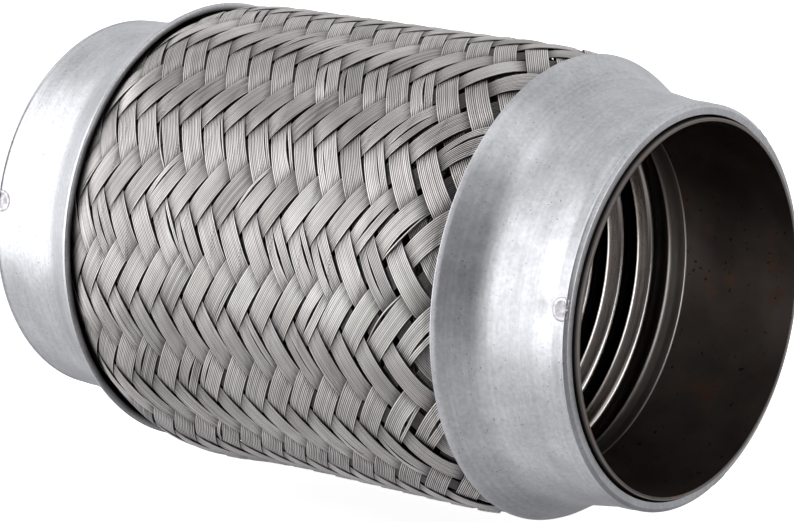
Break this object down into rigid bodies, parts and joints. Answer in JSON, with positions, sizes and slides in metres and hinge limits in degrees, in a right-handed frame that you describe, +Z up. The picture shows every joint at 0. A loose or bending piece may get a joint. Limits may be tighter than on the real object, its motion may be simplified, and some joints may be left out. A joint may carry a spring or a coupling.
{
  "type": "braided bellows expansion joint",
  "caption": "Flexible pipe connector: corrugated metal bellows under a woven wire braid, with a pressed end cap and a thin inner sleeve at each end.",
  "frame": {"origin": "middle of the joint on the pipe axis", "axes": "+X along the pipe axis towards the near end, +Z up when the pipe lies level, +Y completes the right-hand frame"},
  "size_m": [0.156, 0.0976, 0.0976],
  "materials": {
    "cap_steel": "satin aluminised sheet steel with fine drawing lines and mottling",
    "liner_steel": "dark oxidised stainless with brown heat stains",
    "bellows_steel": "bright formed stainless sheet",
    "braid_wire": "bright drawn stainless wire",
    "weld": "dull spot weld face"
  },
  "bodies": {
    "far_end": {"far_end_cap": "cap_steel", "far_inner_sleeve": "liner_steel", "far_bellows_cuff": "bellows_steel", "far_braid_end": "braid_wire", "far_spot_welds": "weld"},
    "ring_01": {"bellows_convolution_01": "bellows_steel", "braid_band_01": "braid_wire"},
    "ring_02": {"bellows_convolution_02": "bellows_steel", "braid_band_02": "braid_wire"},
    "ring_03": {"bellows_convolution_03": "bellows_steel", "braid_band_03": "braid_wire"},
    "ring_04": {"bellows_convolution_04": "bellows_steel", "braid_band_04": "braid_wire"},
    "ring_05": {"bellows_convolution_05": "bellows_steel", "braid_band_05": "braid_wire"},
    "ring_06": {"bellows_convolution_06": "bellows_steel", "braid_band_06": "braid_wire"},
    "ring_07": {"bellows_convolution_07": "bellows_steel", "braid_band_07": "braid_wire"},
    "ring_08": {"bellows_convolution_08": "bellows_steel", "braid_band_08": "braid_wire"},
    "ring_09": {"bellows_convolution_09": "bellows_steel", "braid_band_09": "braid_wire"},
    "ring_10": {"bellows_convolution_10": "bellows_steel", "braid_band_10": "braid_wire"},
    "ring_11": {"bellows_convolution_11": "bellows_steel", "braid_band_11": "braid_wire"},
    "near_end": {"near_end_cap": "cap_steel", "near_inner_sleeve": "liner_steel", "near_bellows_cuff": "bellows_steel", "near_braid_end": "braid_wire", "near_spot_welds": "weld"}
  },
  "joints": [
    {"name": "far_yaw_1", "type": "hinge", "parent": "far_end", "child": "ring_01", "pos_m": [-0.0429, 0, 0], "axis": [0, 0, 1], "range_deg": [-2.5, 2.5], "stiffness_Nm_per_rad": 60},
    {"name": "far_pitch_1", "type": "hinge", "parent": "ring_01", "child": "ring_02", "pos_m": [-0.0351, 0, 0], "axis": [0, 1, 0], "range_deg": [-2.5, 2.5], "stiffness_Nm_per_rad": 60},
    {"name": "axial_slide_1", "type": "slide", "parent": "ring_02", "child": "ring_03", "axis": [1, 0, 0], "range_m": [-0.002, 0.00075], "stiffness_N_per_m": 48000},
    {"name": "far_yaw_2", "type": "hinge", "parent": "ring_03", "child": "ring_04", "pos_m": [-0.0195, 0, 0], "axis": [0, 0, 1], "range_deg": [-2.5, 2.5], "stiffness_Nm_per_rad": 60},
    {"name": "far_pitch_2", "type": "hinge", "parent": "ring_04", "child": "ring_05", "pos_m": [-0.0117, 0, 0], "axis": [0, 1, 0], "range_deg": [-2.5, 2.5], "stiffness_Nm_per_rad": 60},
    {"name": "axial_slide_2", "type": "slide", "parent": "ring_05", "child": "ring_06", "axis": [1, 0, 0], "range_m": [-0.002, 0.00075], "stiffness_N_per_m": 48000},
    {"name": "axial_slide_3", "type": "slide", "parent": "ring_06", "child": "ring_07", "axis": [1, 0, 0], "range_m": [-0.002, 0.00075], "stiffness_N_per_m": 48000},
    {"name": "near_pitch_1", "type": "hinge", "parent": "ring_07", "child": "ring_08", "pos_m": [0.0117, 0, 0], "axis": [0, 1, 0], "range_deg": [-2.5, 2.5], "stiffness_Nm_per_rad": 60},
    {"name": "near_yaw_1", "type": "hinge", "parent": "ring_08", "child": "ring_09", "pos_m": [0.0195, 0, 0], "axis": [0, 0, 1], "range_deg": [-2.5, 2.5], "stiffness_Nm_per_rad": 60},
    {"name": "axial_slide_4", "type": "slide", "parent": "ring_09", "child": "ring_10", "axis": [1, 0, 0], "range_m": [-0.002, 0.00075], "stiffness_N_per_m": 48000},
    {"name": "near_pitch_2", "type": "hinge", "parent": "ring_10", "child": "ring_11", "pos_m": [0.0351, 0, 0], "axis": [0, 1, 0], "range_deg": [-2.5, 2.5], "stiffness_Nm_per_rad": 60},
    {"name": "near_yaw_2", "type": "hinge", "parent": "ring_11", "child": "near_end", "pos_m": [0.0429, 0, 0], "axis": [0, 0, 1], "range_deg": [-2.5, 2.5], "stiffness_Nm_per_rad": 60}
  ],
  "couplings": [
    {"joint": "far_yaw_2", "follows": "far_yaw_1", "ratio": 1},
    {"joint": "far_pitch_2", "follows": "far_pitch_1", "ratio": 1},
    {"joint": "axial_slide_2", "follows": "axial_slide_1", "ratio": 1},
    {"joint": "axial_slide_3", "follows": "axial_slide_1", "ratio": 1},
    {"joint": "axial_slide_4", "follows": "axial_slide_1", "ratio": 1},
    {"joint": "near_pitch_2", "follows": "near_pitch_1", "ratio": 1},
    {"joint": "near_yaw_2", "follows": "near_yaw_1", "ratio": 1}
  ]
}
